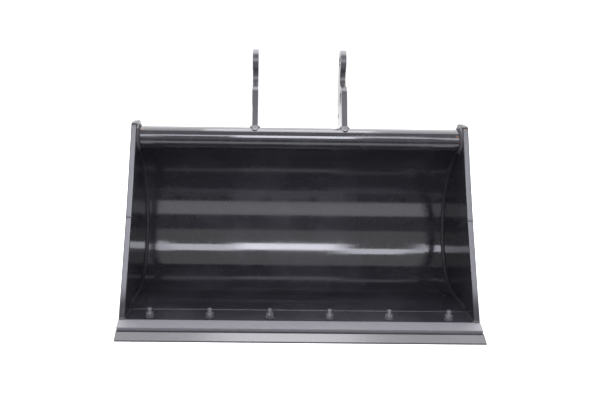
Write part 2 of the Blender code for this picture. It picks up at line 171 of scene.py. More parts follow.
def join_frame(mesh, name, finish, solids=(), crease=40.0):
    """Put a mesh in the scene on the bucket's one body, with its finish and its paint slot."""
    repair = bmesh.new()
    repair.from_mesh(mesh)
    bmesh.ops.recalc_face_normals(repair, faces=repair.faces)
    repair.to_mesh(mesh)
    repair.free()
    mesh.shade_smooth()
    mesh.set_sharp_from_angle(angle=math.radians(crease))
    mesh.materials.clear()
    mesh.materials.append(finish)
    piece = bpy.data.objects.new(name, mesh)
    bpy.context.scene.collection.objects.link(piece)
    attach(piece, "root")
    if solids:
        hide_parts(*solids)
    return piece


# %% [markdown]
# ## Arithmetic for finishes
# A finish is a small network of nodes, and most of them do sums on numbers that change over the
# surface. Written as nodes, a sum such as 1 - dust * 0.3 takes a dozen lines. A class that wraps a
# node's output and takes over the signs lets the sum be written as it reads.

# %% Signals and finishes
class Signal:
    """A number that varies over the surface; each sign used on it adds one Math node."""

    def __init__(self, finish, socket):
        self.finish, self.socket = finish, socket

    def sum_node(self, operation, first, second):
        made = self.finish.node("ShaderNodeMath", {"operation": operation}, {0: first, 1: second})
        return Signal(self.finish, made.outputs[0])

    def __add__(self, other):
        return self.sum_node("ADD", self, other)

    def __sub__(self, other):
        return self.sum_node("SUBTRACT", self, other)

    def __rsub__(self, other):
        return self.sum_node("SUBTRACT", other, self)

    def __mul__(self, other):
        return self.sum_node("MULTIPLY", self, other)

    __radd__, __rmul__ = __add__, __mul__


class Finish:
    """One material: nodes are added through node(), and the finished signals go to its shader."""

    def __init__(self, name):
        self.material = bpy.data.materials.new(name)
        self.material.use_nodes = True
        self.tree = self.material.node_tree
        self.shader = self.tree.nodes["Principled BSDF"]
        self.place = self.node("ShaderNodeTexCoord", {}, {}).outputs["Object"]

    def node(self, kind, settings, sockets):
        """Add a node of a kind, set its settings, then give its sockets their values or links."""
        made = self.tree.nodes.new(kind)
        for key, value in settings.items():
            if key == "stops":
                ramp = made.color_ramp
                for stop, (position, colour) in zip(
                        [ramp.elements[0]] + [ramp.elements.new(p) for p, c in value[1:-1]]
                        + [ramp.elements[-1]], value):
                    stop.position, stop.color = position, colour
            else:
                setattr(made, key, value)
        for key, value in sockets.items():
            self.feed(made.inputs[key], value)
        return made

    def feed(self, socket, value):
        if isinstance(value, Signal):
            value = value.socket
        if isinstance(value, bpy.types.NodeSocket):
            self.tree.links.new(value, socket)
        else:
            socket.default_value = value

    def noise(self, per_metre, detail=3.0, rough=0.5, stretch=(1.0, 1.0, 1.0), shift=(0.0, 0.0, 0.0)):
        """A soft random signal about 0.5, with so many lumps in each metre, stretched if asked."""
        spot = self.node("ShaderNodeMapping", {}, {"Vector": self.place, "Scale": stretch,
                                                   "Location": shift}).outputs[0]
        made = self.node("ShaderNodeTexNoise", {"noise_dimensions": "3D"},
                         {"Vector": spot, "Scale": per_metre, "Detail": detail, "Roughness": rough})
        return Signal(self, made.outputs["Fac"])

    def along(self, axis):
        """The place on the bucket along one axis, in metres."""
        split = self.node("ShaderNodeSeparateXYZ", {}, {0: self.place})
        return Signal(self, split.outputs[axis])

    def rise(self, signal, low, high):
        """0 below low, 1 above high, and smooth between them; low may be above high."""
        made = self.node("ShaderNodeMapRange", {"interpolation_type": "SMOOTHSTEP"},
                         {"Value": signal, "From Min": low, "From Max": high})
        return Signal(self, made.outputs[0])

    def blend(self, share, first, second):
        """A colour that goes from the first to the second as share goes from 0 to 1."""
        made = self.node("ShaderNodeMix", {"data_type": "RGBA"}, {0: share, 6: first, 7: second})
        return made.outputs[2]

    def bumps(self, *layers):
        """Stack relief layers, each a signal and its real height in metres, into one normal."""
        normal = None
        for signal, height in layers:
            sockets = {"Height": signal, "Distance": height, "Strength": 1.0}
            if normal is not None:
                sockets["Normal"] = normal
            normal = self.node("ShaderNodeBump", {}, sockets).outputs[0]
        return normal

    def finish_with(self, colour, rough, normal, metal=0.0, coat=0.0, coat_rough=0.1):
        self.feed(self.shader.inputs["Base Color"], colour)
        self.feed(self.shader.inputs["Roughness"], rough)
        self.feed(self.shader.inputs["Normal"], normal)
        self.feed(self.shader.inputs["Metallic"], metal)
        self.shader.inputs["Coat Weight"].default_value = coat
        self.shader.inputs["Coat Roughness"].default_value = coat_rough
        print("finish", self.material.name, "with", len(self.tree.nodes), "nodes")
        return self.material


# %% [markdown]
# ## Gloss dark grey paint
# Two-pack paint on hot rolled plate is never a perfect mirror. Four things show on it: the fine
# orange peel of the spray, a millimetre across; the gentle waves of rolled plate, a hand wide; thin
# dust that dulls it in soft patches; and a few light rubs from handling. The grey itself is cool,
# with a hint of violet. Each is one noise at its own real scale, and the first two are relief.

# %% The paint on the plates
DEEP_GREY, DUSTY_GREY = (0.0125, 0.0120, 0.0150, 1.0), (0.044, 0.043, 0.050, 1.0)
RUST = (0.120, 0.048, 0.022, 1.0)
# Painted highlight: a lighter grey that the lip's bevel and the fasteners are mixed towards, standing in for the
# overhead light they catch.
PAINTED_HIGHLIGHT_GREY = (0.120, 0.118, 0.128, 1.0)
STEEL = (0.22, 0.22, 0.235, 1.0)
DULL, SHINY = 0.30, 0.085
PEEL_HEIGHT, WAVE_HEIGHT, MILL_HEIGHT = 0.000012, 0.00022, 0.000010


def paint_signals(finish, gloss=SHINY):
    """Colour, roughness and relief that every painted piece shares."""
    patches = finish.rise(finish.noise(5.0, 4.0, 0.55), 0.42, 0.68)
    haze = finish.rise(finish.noise(38.0, 5.0, 0.6), 0.50, 0.75)
    rubs = finish.rise(finish.noise(9.0, 6.0, 0.75, (1.0, 14.0, 14.0)), 0.63, 0.74)
    dust = patches * 0.22 + haze * 0.16 + rubs * 0.20
    colour = finish.blend(dust, DEEP_GREY, DUSTY_GREY)
    rough = gloss + (DULL - gloss) * dust
    peel = finish.noise(850.0, 1.0)
    wave = finish.noise(6.5, 1.0)
    mill = finish.noise(140.0, 3.0, 0.6)
    return colour, rough, [(wave, WAVE_HEIGHT), (mill, MILL_HEIGHT), (peel, PEEL_HEIGHT)], dust


def make_body_paint():
    finish = Finish("body_paint")
    colour, rough, relief, dust = paint_signals(finish)
    high = finish.rise(finish.along("Z"), 0.53, 0.60)
    outer = finish.rise(finish.along("X") * finish.along("X"), 0.25, 0.31)
    specks = finish.rise(finish.noise(60.0, 5.0, 0.7), 0.57, 0.66)
    colour = finish.blend(high * outer * specks, colour, RUST)
    return finish.finish_with(colour, rough, finish.bumps(*relief), coat=0.0)


body_paint = make_body_paint()


def make_cut_edge_paint():
    """The ears' rims were cut with a torch: fine ridges keep their paint dull, but not the flat faces'."""
    finish = Finish("cut_plate_paint")
    colour, rough, relief, dust = paint_signals(finish)
    facing = finish.node("ShaderNodeTexCoord", {}, {}).outputs["Normal"]
    sideways = Signal(finish, finish.node("ShaderNodeSeparateXYZ", {}, {0: facing}).outputs["X"])
    cut = finish.rise(sideways * sideways, 0.85, 0.55)
    ridges = finish.noise(260.0, 4.0, 0.65, (5.0, 1.0, 1.0)) * cut
    return finish.finish_with(finish.blend(ridges * 0.3, colour, DUSTY_GREY), rough + cut * 0.30,
                              finish.bumps(*relief[:2], (ridges, 0.00009)))


cut_plate_paint = make_cut_edge_paint()

# %% [markdown]
# ## Paint on the lip and the wear edge
# The edge that meets the ground gets the same paint, but it slides over benches and pallets before
# it is ever used. So its nose shows bright rub marks that run across it. The lip's own bevel was cut
# with a torch and left rough, and its grey is mixed lighter as a painted highlight for the overhead
# light that the bevel reflects.

# %% The paint on the edges and the fasteners
FRONT_OF_EDGE = STEP[1] + LIP_NOSE_Y - 0.053


def make_edge_paint():
    finish = Finish("edge_paint")
    colour, rough, relief, dust = paint_signals(finish, 0.20)
    lip_front = STEP[1] + LIP_NOSE_Y
    # Painted highlight: the mask marks the lip's bevel, whose grey is mixed lighter below, in streaks, to stand in
    # for the overhead light it reflects; it is also made rougher.
    bevel = finish.rise(finish.along("Y"), lip_front - 0.006, lip_front - 0.001) * \
        finish.rise(finish.along("Y"), lip_front + 0.0435, lip_front + 0.0405)
    highlight_streaks = finish.noise(30.0, 5.0, 0.7, (1.0, 6.0, 6.0))
    colour = finish.blend(bevel * (0.55 + highlight_streaks * 0.7), colour, PAINTED_HIGHLIGHT_GREY)
    rough = rough + bevel * 0.16
    near_front = finish.rise(finish.along("Y"), FRONT_OF_EDGE + 0.050, FRONT_OF_EDGE + 0.004)
    scrapes = finish.rise(finish.noise(22.0, 6.0, 0.8, (1.0, 9.0, 9.0), (3.1, 0.0, 0.0)), 0.56, 0.66)
    nicks = finish.rise(finish.noise(160.0, 4.0, 0.7), 0.60, 0.70)
    worn = near_front * scrapes * (0.35 + nicks * 0.5)
    colour = finish.blend(worn * 0.55, colour, STEEL)
    return finish.finish_with(colour, rough + worn * 0.12, finish.bumps(*relief, (worn, -0.00004)),
                              metal=worn * 0.5)


def make_fastener_paint():
    finish = Finish("fastener_paint")
    colour, rough, relief, dust = paint_signals(finish, 0.24)
    # Partly painted highlight, partly dust: the fasteners' grey is mixed lighter than the body's, standing in for
    # the light their tops and edges catch, and lighter still where dust lies.
    colour = finish.blend(0.45 + dust * 0.5, colour, PAINTED_HIGHLIGHT_GREY)
    return finish.finish_with(colour, rough, finish.bumps(*relief[1:]))


edge_paint, fastener_paint = make_edge_paint(), make_fastener_paint()

# %% [markdown]
# ## Paint over weld metal, and the turned bores
# A weld bead is rougher than plate, and the paint pools in its ripples, so it shines in small
# points. The bushes in the ears are turned steel: the lathe leaves fine rings round the bore, and
# rings can be had from a wave texture that runs along X, the way the cutting tool moved.

# %% The paint on the welds, and the steel of the bushes
def make_weld_paint():
    finish = Finish("weld_paint")
    colour, rough, relief, dust = paint_signals(finish, 0.30)
    grain = finish.noise(1300.0, 2.0, 0.6)
    colour = finish.blend(finish.rise(finish.noise(90.0, 3.0), 0.5, 0.75) * 0.35, colour, DUSTY_GREY)
    return finish.finish_with(colour, rough, finish.bumps((grain, 0.00005)))


def make_bush_steel():
    finish = Finish("bush_steel")
    rings = finish.node("ShaderNodeTexWave", {"wave_type": "BANDS", "bands_direction": "X"},
                        {"Vector": finish.place, "Scale": 300.0, "Distortion": 0.6, "Detail": 2.0})
    rings = Signal(finish, rings.outputs["Fac"])
    stain = finish.rise(finish.noise(45.0, 4.0, 0.6), 0.45, 0.7)
    colour = finish.blend(stain * 0.6, (0.26, 0.255, 0.25, 1.0), (0.11, 0.10, 0.09, 1.0))
    return finish.finish_with(colour, 0.30 + stain * 0.25, finish.bumps((rings, 0.00001)), metal=1.0)


weld_paint, bush_steel = make_weld_paint(), make_bush_steel()


# %% [markdown]
# ## Plates with soft edges
# A plasma cut edge that has been ground and painted is never sharp: paint rounds it to about a
# millimetre, and that thin curve is what catches the light. The plates' shapes are right already,
# so a copy of each is merged into one skin, its flat faces are joined, and a Bevel modifier rounds
# what is left. Copying keeps every size exactly as drawn.

# %% Round the plates' edges
MERGE, FLAT_WITHIN, SHARP_FROM = 2e-5, math.radians(1.0), math.radians(28)


def softened(node, radius, finish, segments=3):
    """A merged copy of a solid whose sharp edges are rounded by a radius."""
    mesh = bpy.data.meshes.new(node + "_soft")
    edit = bmesh.new()
    edit.from_mesh(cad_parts[node].data)
    bmesh.ops.remove_doubles(edit, verts=edit.verts, dist=MERGE)
    bmesh.ops.dissolve_limit(edit, angle_limit=FLAT_WITHIN, verts=edit.verts, edges=edit.edges)
    edit.to_mesh(mesh)
    edit.free()
    piece = join_frame(mesh, node + "_painted", finish, [node], crease=30.0)
    bevel = piece.modifiers.new("soft edges", 'BEVEL')
    bevel.width = radius
    bevel.segments = segments
    bevel.limit_method = 'ANGLE'
    bevel.angle_limit = SHARP_FROM
    bevel.harden_normals = True
    return piece


PLATE_EDGE, BAR_EDGE, EAR_EDGE, THIN_EDGE = 0.0012, 0.0028, 0.0018, 0.0006
for word in ("left", "right"):
    softened("side_bar_lower_" + word, BAR_EDGE, body_paint, 4)
    softened("side_bar_upper_" + word, BAR_EDGE, body_paint, 4)
    softened("side_sheet_" + word, PLATE_EDGE, body_paint)
    softened("ear_" + word, EAR_EDGE, cut_plate_paint)
    for node in ("bush_front_" + word, "bush_rear_" + word):
        softened(node, THIN_EDGE, bush_steel, 2)
softened("lip_plate", PLATE_EDGE, edge_paint)
softened("bolt_on_edge", PLATE_EDGE, edge_paint)
for number in range(1, 5):
    softened(f"runner_{number}", PLATE_EDGE, edge_paint)
for number in range(1, 7):
    softened(f"washer_{number}", THIN_EDGE / 2, fastener_paint, 2)
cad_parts["top_tube"].data.materials[0] = body_paint

# %% [markdown]
# ## The rolled shell
# On a glossy shell the reflections show every flat and every roll, so its skin needs many more rows
# than the solid's, and they have to sit exactly on the line worked out above. The section is a ring:
# up the inside, then down the outside. It is carried across the bucket from side to side, and where
# the shell passes under the thicker upper bars, its edge steps in by the difference.

# %% Carry the shell's section across the bucket
def wall_beside(points):
    """The side wall's thickness beside each point: the bar's in front of its rear line, else the sheet's."""
    y, z = points[:, 0], points[:, 1]
    under_bar = (behind_front(y, z) < BAR_W + SEAM_GAP) & (z > KINK_Z)
    return np.where(under_bar, BAR_T + SEAM_GAP, SHEET_T)


def split_at_bar(line):
    """Add two rows a hair apart where a line of points passes behind the upper bar."""
    gap = behind_front(line[:, 0], line[:, 1]) - (BAR_W + SEAM_GAP)
    inside = np.nonzero((gap[:-1] > 0) & (gap[1:] <= 0))[0][-1]
    share = gap[inside] / (gap[inside] - gap[inside + 1])
    rows = line[inside] + (line[inside + 1] - line[inside]) * np.array([[share - 0.02], [share + 0.02]])
    return np.insert(line, [inside + 1, inside + 1], rows, axis=0)


def rolled_shell(columns=25):
    """Section ring times width: x = v * half width at y, less the wall, for v from -1 to 1."""
    ring = np.vstack([split_at_bar(inner_line), split_at_bar(outer_line)[::-1]])
    reach = half_width(ring[:, 0], wall_beside(ring)) - SEAM_GAP
    across = np.linspace(-1, 1, columns)[:, None]
    x = across * reach
    y = np.broadcast_to(ring[:, 0], x.shape)
    z = np.broadcast_to(ring[:, 1], x.shape)
    return np.stack([x, y, z], -1) + STEP


def ribbon_ends(mesh_grid):
    """Shut the two ends of the shell with strips of faces from its inside to its outside."""
    rows, columns = mesh_grid.shape[:2]
    half = columns // 2
    index = np.arange(rows * columns).reshape(rows, columns)
    ahead = np.roll(index, -1, axis=1)
    skin_faces = np.stack([index[:-1], ahead[:-1], ahead[1:], index[1:]], -1).reshape(-1, 4)
    low = np.arange(half - 1)
    caps = [np.stack([end[low], end[low + 1], end[columns - 2 - low], end[columns - 1 - low]], -1)
            for end in (index[0], index[-1])]
    mesh = bpy.data.meshes.new("rolled_shell")
    mesh.from_pydata(mesh_grid.reshape(-1, 3).tolist(), [], np.vstack([skin_faces, *caps]).tolist())
    return mesh


shell = join_frame(ribbon_ends(rolled_shell()), "rolled_shell", body_paint, ["shell"], 30.0)
print("shell faces", len(shell.data.polygons))

# %% [markdown]
# ## Weld beads
# Every seam of the bucket is a run of MIG weld. Close up, a bead is a chain of overlapping scales,
# each a small frozen pool, with a lump wherever the welder stopped and started again. A bead is a
# profile carried along its seam. Two arrows at each point of the seam say where the profile's feet
# stand: along the two plates for a corner, or to the left and straight up for a flat seam. The
# profile swells and shrinks once per scale, and its ripples curve back like the rim of a pool.

# %% The bead
SCALE_PITCH, BEAD_STEP, PROFILE_ROWS, CORNER_PULL = 0.0026, 0.00075, 9, 0.20
rng = np.random.default_rng(11)


def evenly(path, *more):
    """Resample a path, and arrays that go with it, at the bead's step along its length."""
    run = np.concatenate([[0], np.cumsum(np.linalg.norm(np.diff(path, axis=0), axis=1))])
    stops = np.linspace(0, run[-1], max(12, int(run[-1] / BEAD_STEP)))
    return [stops] + [np.stack([np.interp(stops, run, array[:, k]) for k in range(3)], 1)
                      for array in (path, *more)]


def bead(name, path, first, second, size, sweep=QUARTER, joined=False, swell=0.10):
    """A weld bead along a path.

    At angle a the profile is first * cos a + second * sin a, for a from 0 to the sweep: a quarter
    turn for a corner, whose middle is pulled in to a nearly flat face, and a half turn for a flat
    seam. Its size is multiplied by 1 + swell * scale(s / pitch + a curve across the bead), and
    rounds off to nothing over one bead's width at each end.
    """
    stops, path, first, second = evenly(path, first, second)
    length = stops[-1]
    arc = np.linspace(0, 1, PROFILE_ROWS)
    angle = arc * sweep
    pull = 1 - CORNER_PULL * np.sin(2 * angle) if sweep < 2 else np.ones(PROFILE_ROWS)
    across = 2 * arc - 1
    drift = sum(rng.uniform(0.2, 1.0) * np.sin(stops * rng.uniform(20, 160) + rng.uniform(0, 6.3))
                for wave in range(5)) / 5
    phase = stops[:, None] / SCALE_PITCH + 0.75 * across ** 2 + drift[:, None] * 1.3
    phase += np.cumsum(rng.normal(0, 0.035, len(stops)))[:, None]
    scales = 0.5 - np.abs(phase % 1.0 - 0.72) * 1.3
    restart = sum(np.exp(-((stops - at) / 0.004) ** 2) for at in
                  np.arange(rng.uniform(0.05, 0.12), max(length, 0.051), rng.uniform(0.10, 0.16)))
    stout = size * (1 + 0.10 * drift + 0.20 * restart)
    end = np.minimum(stops, length - stops) / (1.2 * size)
    taper = np.ones(len(stops)) if joined else np.sqrt(1 - (1 - np.clip(end, 0.02, 1)) ** 2)
    full = (stout * taper)[:, None] * pull * (1 + swell * scales * np.sin(arc * math.pi))
    ring = first[:, None] * np.cos(angle)[:, None] + second[:, None] * np.sin(angle)[:, None]
    points = path[:, None] + ring * full[:, :, None]
    if sweep < 2:
        root = path - (first + second) * 0.00025
    else:
        root = path - second * 0.0006
    grid = np.concatenate([points, root[:, None]], 1) + STEP
    if joined:
        grid = grid[:-1]
    mesh = skin(name, grid, joined)
    return join_frame(mesh, name, weld_paint, crease=55.0)


def arrows(count, vector):
    """The same arrow for each of so many points."""
    return np.tile(np.asarray(vector, float), (count, 1))


# %% Corner beads inside and outside
FILLET, BACK_FILLET = 0.0075, 0.0060
SIDES = ((-1, "left"), (1, "right"))


def beside_wall(side, line, wall):
    """Points along a side wall's face for a line of (y, z)."""
    return np.column_stack([side * half_width(line[:, 0], wall), line])


def flat(arrows_yz):
    """Arrows (0, y, z) from arrows (y, z)."""
    return np.column_stack([np.zeros(len(arrows_yz)), arrows_yz])


for side, word in SIDES:
    clear = wall_beside(inner_line) == SHEET_T
    line, facing = inner_line[clear], inner_facing[clear]
    bead("weld_bowl_corner_" + word, beside_wall(side, line, SHEET_T), arrows(len(line), (-side, 0, 0)),
         flat(facing), FILLET)
    clear = wall_beside(outer_line) == SHEET_T
    line, facing = outer_line[clear], outer_facing[clear]
    bead("weld_back_corner_" + word, beside_wall(side, line, SHEET_T), arrows(len(line), (-side, 0, 0)),
         flat(-facing) * 0.9, BACK_FILLET)
print("corner beads done")


# %% [markdown]
# ## Seams across the floor and at the tube
# The shell is butted to the thick lip behind the bolts, where a low flat bead runs from side to
# side, with a full corner bead under it. At the top, the shell's edge meets the round tube, and a
# bead fills the wedge on both sides. Outside, the ears stand on that seam, so it comes in three runs.

# %% Lip seam and tube seams
SEAM, UNDER_SEAM, TUBE_SEAM, LOW = 0.0055, 0.0080, 0.0070, 0.26
EAR_IN, EAR_OUT = 0.1475, 0.1675


def across(y, z, start, end, rows=40):
    """A straight path along X at a place (y, z)."""
    return np.column_stack([np.linspace(start, end, rows), np.full(rows, y), np.full(rows, z)])


reach = half_width(LIP_REAR_Y, BAR_T) - 0.004
bead("weld_lip_seam", across(LIP_REAR_Y, 0.0, -reach, reach), arrows(40, (0, 1, 0)), arrows(40, (0, 0, LOW)),
     SEAM, math.pi)
bead("weld_lip_under", across(LIP_REAR_Y, -SHELL_T, -reach, reach), arrows(40, (0, 1, 0)),
     arrows(40, (0, 0, -1)), UNDER_SEAM)


def tube_tangent(point, towards):
    """The arrow along the tube's skin at a point, on the side that another arrow points to."""
    spoke = (point - TUBE_MIDDLE) / np.linalg.norm(point - TUBE_MIDDLE)
    tangent = np.array([-spoke[1], spoke[0]])
    return tangent * np.sign(tangent @ towards)


down_shell = -compass(TUBE_HEADING)
for end, towards, word, spans in (
        (inner_line[-1], inner_facing[-1], "inside", [(-1.0, 1.0)]),
        (outer_line[-1], -inner_facing[-1], "outside",
         [(-1.0, -EAR_OUT), (-EAR_IN, EAR_IN), (EAR_OUT, 1.0)])):
    limit = half_width(end[0], BAR_T) - 0.004
    for number, (start, stop) in enumerate(spans, 1):
        path = across(*end, max(start, -limit), min(stop, limit))
        skin_arrow = tube_tangent(end, towards)
        bead(f"weld_tube_{word}_{number}", path, arrows(40, (0, *down_shell)), arrows(40, (0, *skin_arrow)),
             TUBE_SEAM)
print("floor and tube seams done")

# %% [markdown]
# ## Beads on the side plates
# Each side is a thick bar along the mouth and a thin sheet behind it. Outside they are flush and
# joined by a low bead; inside, the bar stands 12 mm proud, so a corner bead runs down its rear face.
# The bar itself is two pieces joined at the kink, with a bead wrapped round three of its faces,
# and its foot is welded round the front and the inside, where it stands on the lip.

# %% Bars, kinks and feet
BAR_BEAD, FLUSH_BEAD, KINK_BEAD, FOOT_BEAD, GROUND = 0.0060, 0.0048, 0.0040, 0.0055, 0.14


def front_to_rear(slope):
    """The arrow (y, z) square to a bar of a slope, from its front edge to its rear."""
    return np.array([math.sin(slope), -math.cos(slope)])


def rear_of(z, base_y, base_z, slope):
    """Y of a bar's rear line at height z."""
    return base_y + (z - base_z) / math.tan(slope) + BAR_W / math.sin(slope)


climb_low, climb_high = 1 / math.tan(LOWER_SLOPE), 1 / math.tan(UPPER_SLOPE)
rear_apart = rear_of(0, KINK_Y, KINK_Z, UPPER_SLOPE) - rear_of(0, 0, 0, LOWER_SLOPE)
REAR_KINK_Z = rear_apart / (climb_low - climb_high)
REAR_KINK = np.array([rear_of(REAR_KINK_Z, 0, 0, LOWER_SLOPE), REAR_KINK_Z])
TUBE_END_BEAD = 0.0105
print("rear kink at", np.round(REAR_KINK, 4))


def bar_rear(low, high, rows=60):
    """Points of the bars' rear line between two heights, and arrows away from the bar."""
    z = np.linspace(low, high, rows)
    upper = z > REAR_KINK_Z
    y = np.where(upper, rear_of(z, KINK_Y, KINK_Z, UPPER_SLOPE), rear_of(z, 0, 0, LOWER_SLOPE))
    away = np.where(upper[:, None], front_to_rear(UPPER_SLOPE), front_to_rear(LOWER_SLOPE))
    return np.column_stack([y, z]), away


def height_behind_bar(line):
    """The height at which a line of the shell passes behind the upper bar."""
    return float(split_at_bar(line)[np.nonzero(wall_beside(split_at_bar(line)) != SHEET_T)[0][0], 1])


inside_top, outside_top = height_behind_bar(inner_line), height_behind_bar(outer_line)


def wrap(corners, normals, rows=14, ease=0.0014):
    """A path along straight sides whose normals swing over smoothly at each rounded corner."""
    points, facing = [], []
    for (start, stop), normal in zip(zip(corners[:-1], corners[1:]), normals):
        start, stop = np.asarray(start, float), np.asarray(stop, float)
        pull = (stop - start) / np.linalg.norm(stop - start) * ease
        side_rows = np.linspace(0, 1, rows)[:, None]
        points.append(start + pull + (stop - start - 2 * pull) * side_rows)
        facing.append(np.tile(np.asarray(normal, float), (rows, 1)))
    return np.vstack(points), np.vstack(facing)


def on_bar(side, spot, wall):
    """A point (x, y, z) on a bar's face, from its place (y, z) and the face's depth in from outside."""
    return (side * half_width(spot[0], wall), *spot)


for side, word in SIDES:
    line, away = bar_rear(0.008, inside_top - 0.004)
    bead("weld_bar_inside_" + word, beside_wall(side, line, SHEET_T), flat(away),
         arrows(len(line), (-side, 0, 0)), BAR_BEAD)
    line, away = bar_rear(0.004, outside_top + 0.012)
    bead("weld_bar_outside_" + word, beside_wall(side, line, 0.0), flat(away),
         arrows(len(line), (side * LOW, 0, 0)), FLUSH_BEAD, math.pi)

    kink = np.array([KINK_Y, KINK_Z])
    path, facing = wrap([on_bar(side, REAR_KINK, BAR_T), on_bar(side, kink, BAR_T),
                         on_bar(side, kink, 0.0), on_bar(side, REAR_KINK, 0.0)],
                        [(-side, 0, 0), (0, *-front_to_rear(UPPER_SLOPE)), (side, 0, 0)])
    bead("weld_bar_kink_" + word, path, arrows(len(path), (0, *compass(UPPER_SLOPE))), facing * GROUND,
         KINK_BEAD, math.pi)

    foot = [(side * half_width(0.0, 0.001), 0.0, 0.0), (side * half_width(0.0, BAR_T), 0.0, 0.0),
            (side * half_width(0.108, BAR_T), 0.108, 0.0)]
    path, outwards = wrap(foot, [(0, -1, -0.22), (-side, 0, 0)])
    upright = np.where(np.arange(len(path))[:, None] < 14, np.array([0, *compass(LOWER_SLOPE)]),
                       np.array([0.0, 0.0, 1.0]))
    bead("weld_bar_foot_" + word, path, outwards, upright, FOOT_BEAD)

    turn = np.linspace(0, math.tau, 160)
    spokes = compass(turn)
    rim = TUBE_MIDDLE + TUBE_R * spokes
    bead("weld_tube_end_" + word, beside_wall(side, rim, BAR_T), flat(spokes), arrows(160, (-side, 0, 0)),
         TUBE_END_BEAD, joined=True, swell=0.20)
print("side beads done")

# %% [markdown]
# ## Beads round the ears and the runners
# The ears carry the whole bucket, so they are welded all the way round: over the tube, down the
# back of the shell, and across the front foot and the tail. Under the floor the runners get a bead
# along each long side.

# %% Ears, bushes and runners
EAR_BEAD, EAR_FOOT_BEAD, FOOT_ANGLE, TAIL_DROP = 0.0085, 0.0120, math.radians(96.0), 0.150
PIN_FRONT, PIN_REAR, BUSH_RIM, BUSH_BEAD, RUNNER_BEAD = (0.391, 0.700), (0.455, 0.824), 0.0302, 0.0032, 0.0055
roll_top = (BACK_MIDDLE + (BACK_R + SHELL_T) * compass(TUBE_HEADING - QUARTER))[1]
back_rows = outer_line[:, 1] > roll_top - TAIL_DROP
tail_line, tail_facing = outer_line[back_rows][::-1], -outer_facing[back_rows][::-1]
seam_spoke = outer_line[-1] - TUBE_MIDDLE
turn = np.linspace(FOOT_ANGLE, math.atan2(seam_spoke[1], seam_spoke[0]), 60)
base_line = np.vstack([TUBE_MIDDLE + TUBE_R * compass(turn)[:-4], tail_line[3:]])
base_facing = np.vstack([compass(turn)[:-4], tail_facing[3:]])
foot_spot, foot_down, FOOT_RUN = base_line[0], compass(FOOT_ANGLE + QUARTER + 0.15)[None], 1.9
tail_spot, tail_out = base_line[-1], base_facing[-1]
for side, word in SIDES:
    for face, away in ((EAR_IN, -side), (EAR_OUT, side)):
        path = np.column_stack([np.full(len(base_line), side * face), base_line])
        where = "inner" if away == -side else "outer"
        bead(f"weld_ear_{where}_{word}", path, arrows(len(path), (away, 0, 0)), flat(base_facing), EAR_BEAD,
             swell=0.13)
    ends = (side * (EAR_IN - 0.004), side * (EAR_OUT + 0.004))
    bead("weld_ear_foot_" + word, across(*foot_spot, *ends, 20), arrows(20, FOOT_RUN * flat(foot_down)[0]),
         arrows(20, (0, *compass(math.radians(60)))), EAR_FOOT_BEAD, swell=0.22)
    tail_down = np.array([tail_out[1], -tail_out[0]]) * (1 if tail_out[0] > 0 else -1)
    bead("weld_ear_tail_" + word, across(*tail_spot, *ends, 20), arrows(20, (0, *tail_down)),
         arrows(20, (0, *tail_out)), EAR_BEAD)
    for pin, spot in (("front", PIN_FRONT), ("rear", PIN_REAR)):
        turn_bush = np.linspace(0, math.tau, 120)
        ring = np.array(spot) + BUSH_RIM * compass(turn_bush)
        path = np.column_stack([np.full(120, side * EAR_OUT), ring])
        bead(f"weld_bush_{pin}_{word}", path, flat(compass(turn_bush)), arrows(120, (side * 0.35, 0, 0)),
             BUSH_BEAD, math.pi, joined=True)

runner_low, runner_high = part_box("runner_1")
front_y, rear_y = runner_low.y - STEP[1] + 0.004, runner_high.y - STEP[1] - 0.004
rows = (outer_line[:, 0] > front_y) & (outer_line[:, 0] < rear_y) & (outer_line[:, 1] < 0.1)
for number in range(1, 5):
    low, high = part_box(f"runner_{number}")
    for x, away, word in ((low.x, -1, "left"), (high.x, 1, "right")):
        path = np.column_stack([np.full(rows.sum(), x), outer_line[rows]])
        bead(f"weld_runner_{number}_{word}", path, arrows(len(path), (away, 0, 0)), flat(-outer_facing[rows]),
             RUNNER_BEAD)

# %% [markdown]
# ## Bolts and nuts
# The wear edge hangs on six plow bolts, whose cone heads lie flush underneath and whose threads
# stand out of the nuts inside the bucket. A thread is one surface of two parameters, height and
# angle: the radius dips once per pitch, and the dip moves up by one pitch per turn. Paint has
# filled the bottom of the thread, so it is shallower than a clean one. A nut is the same kind of
# surface, with a radius that follows its six flats and corners turned off at 30 degrees.

# %% Plow bolts
BOLT_R, HEAD_R, HEAD_H, HEAD_RIM = 0.008, 0.0155, 0.0085, 0.0006
EDGE_T, PITCH, THREAD_DEPTH = 0.020, 0.002, 0.0008
WASHER_TOP, NUT_H, STUB, TIP_CHAMFER = 0.0036, 0.013, 0.0145, 0.0016
BOLT_Y = (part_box("plow_bolt_1")[0].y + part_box("plow_bolt_1")[1].y) / 2 - STEP[1]
TIP = WASHER_TOP + NUT_H + STUB
HEAD_FACE = -LIP_T - SEAM_GAP - EDGE_T


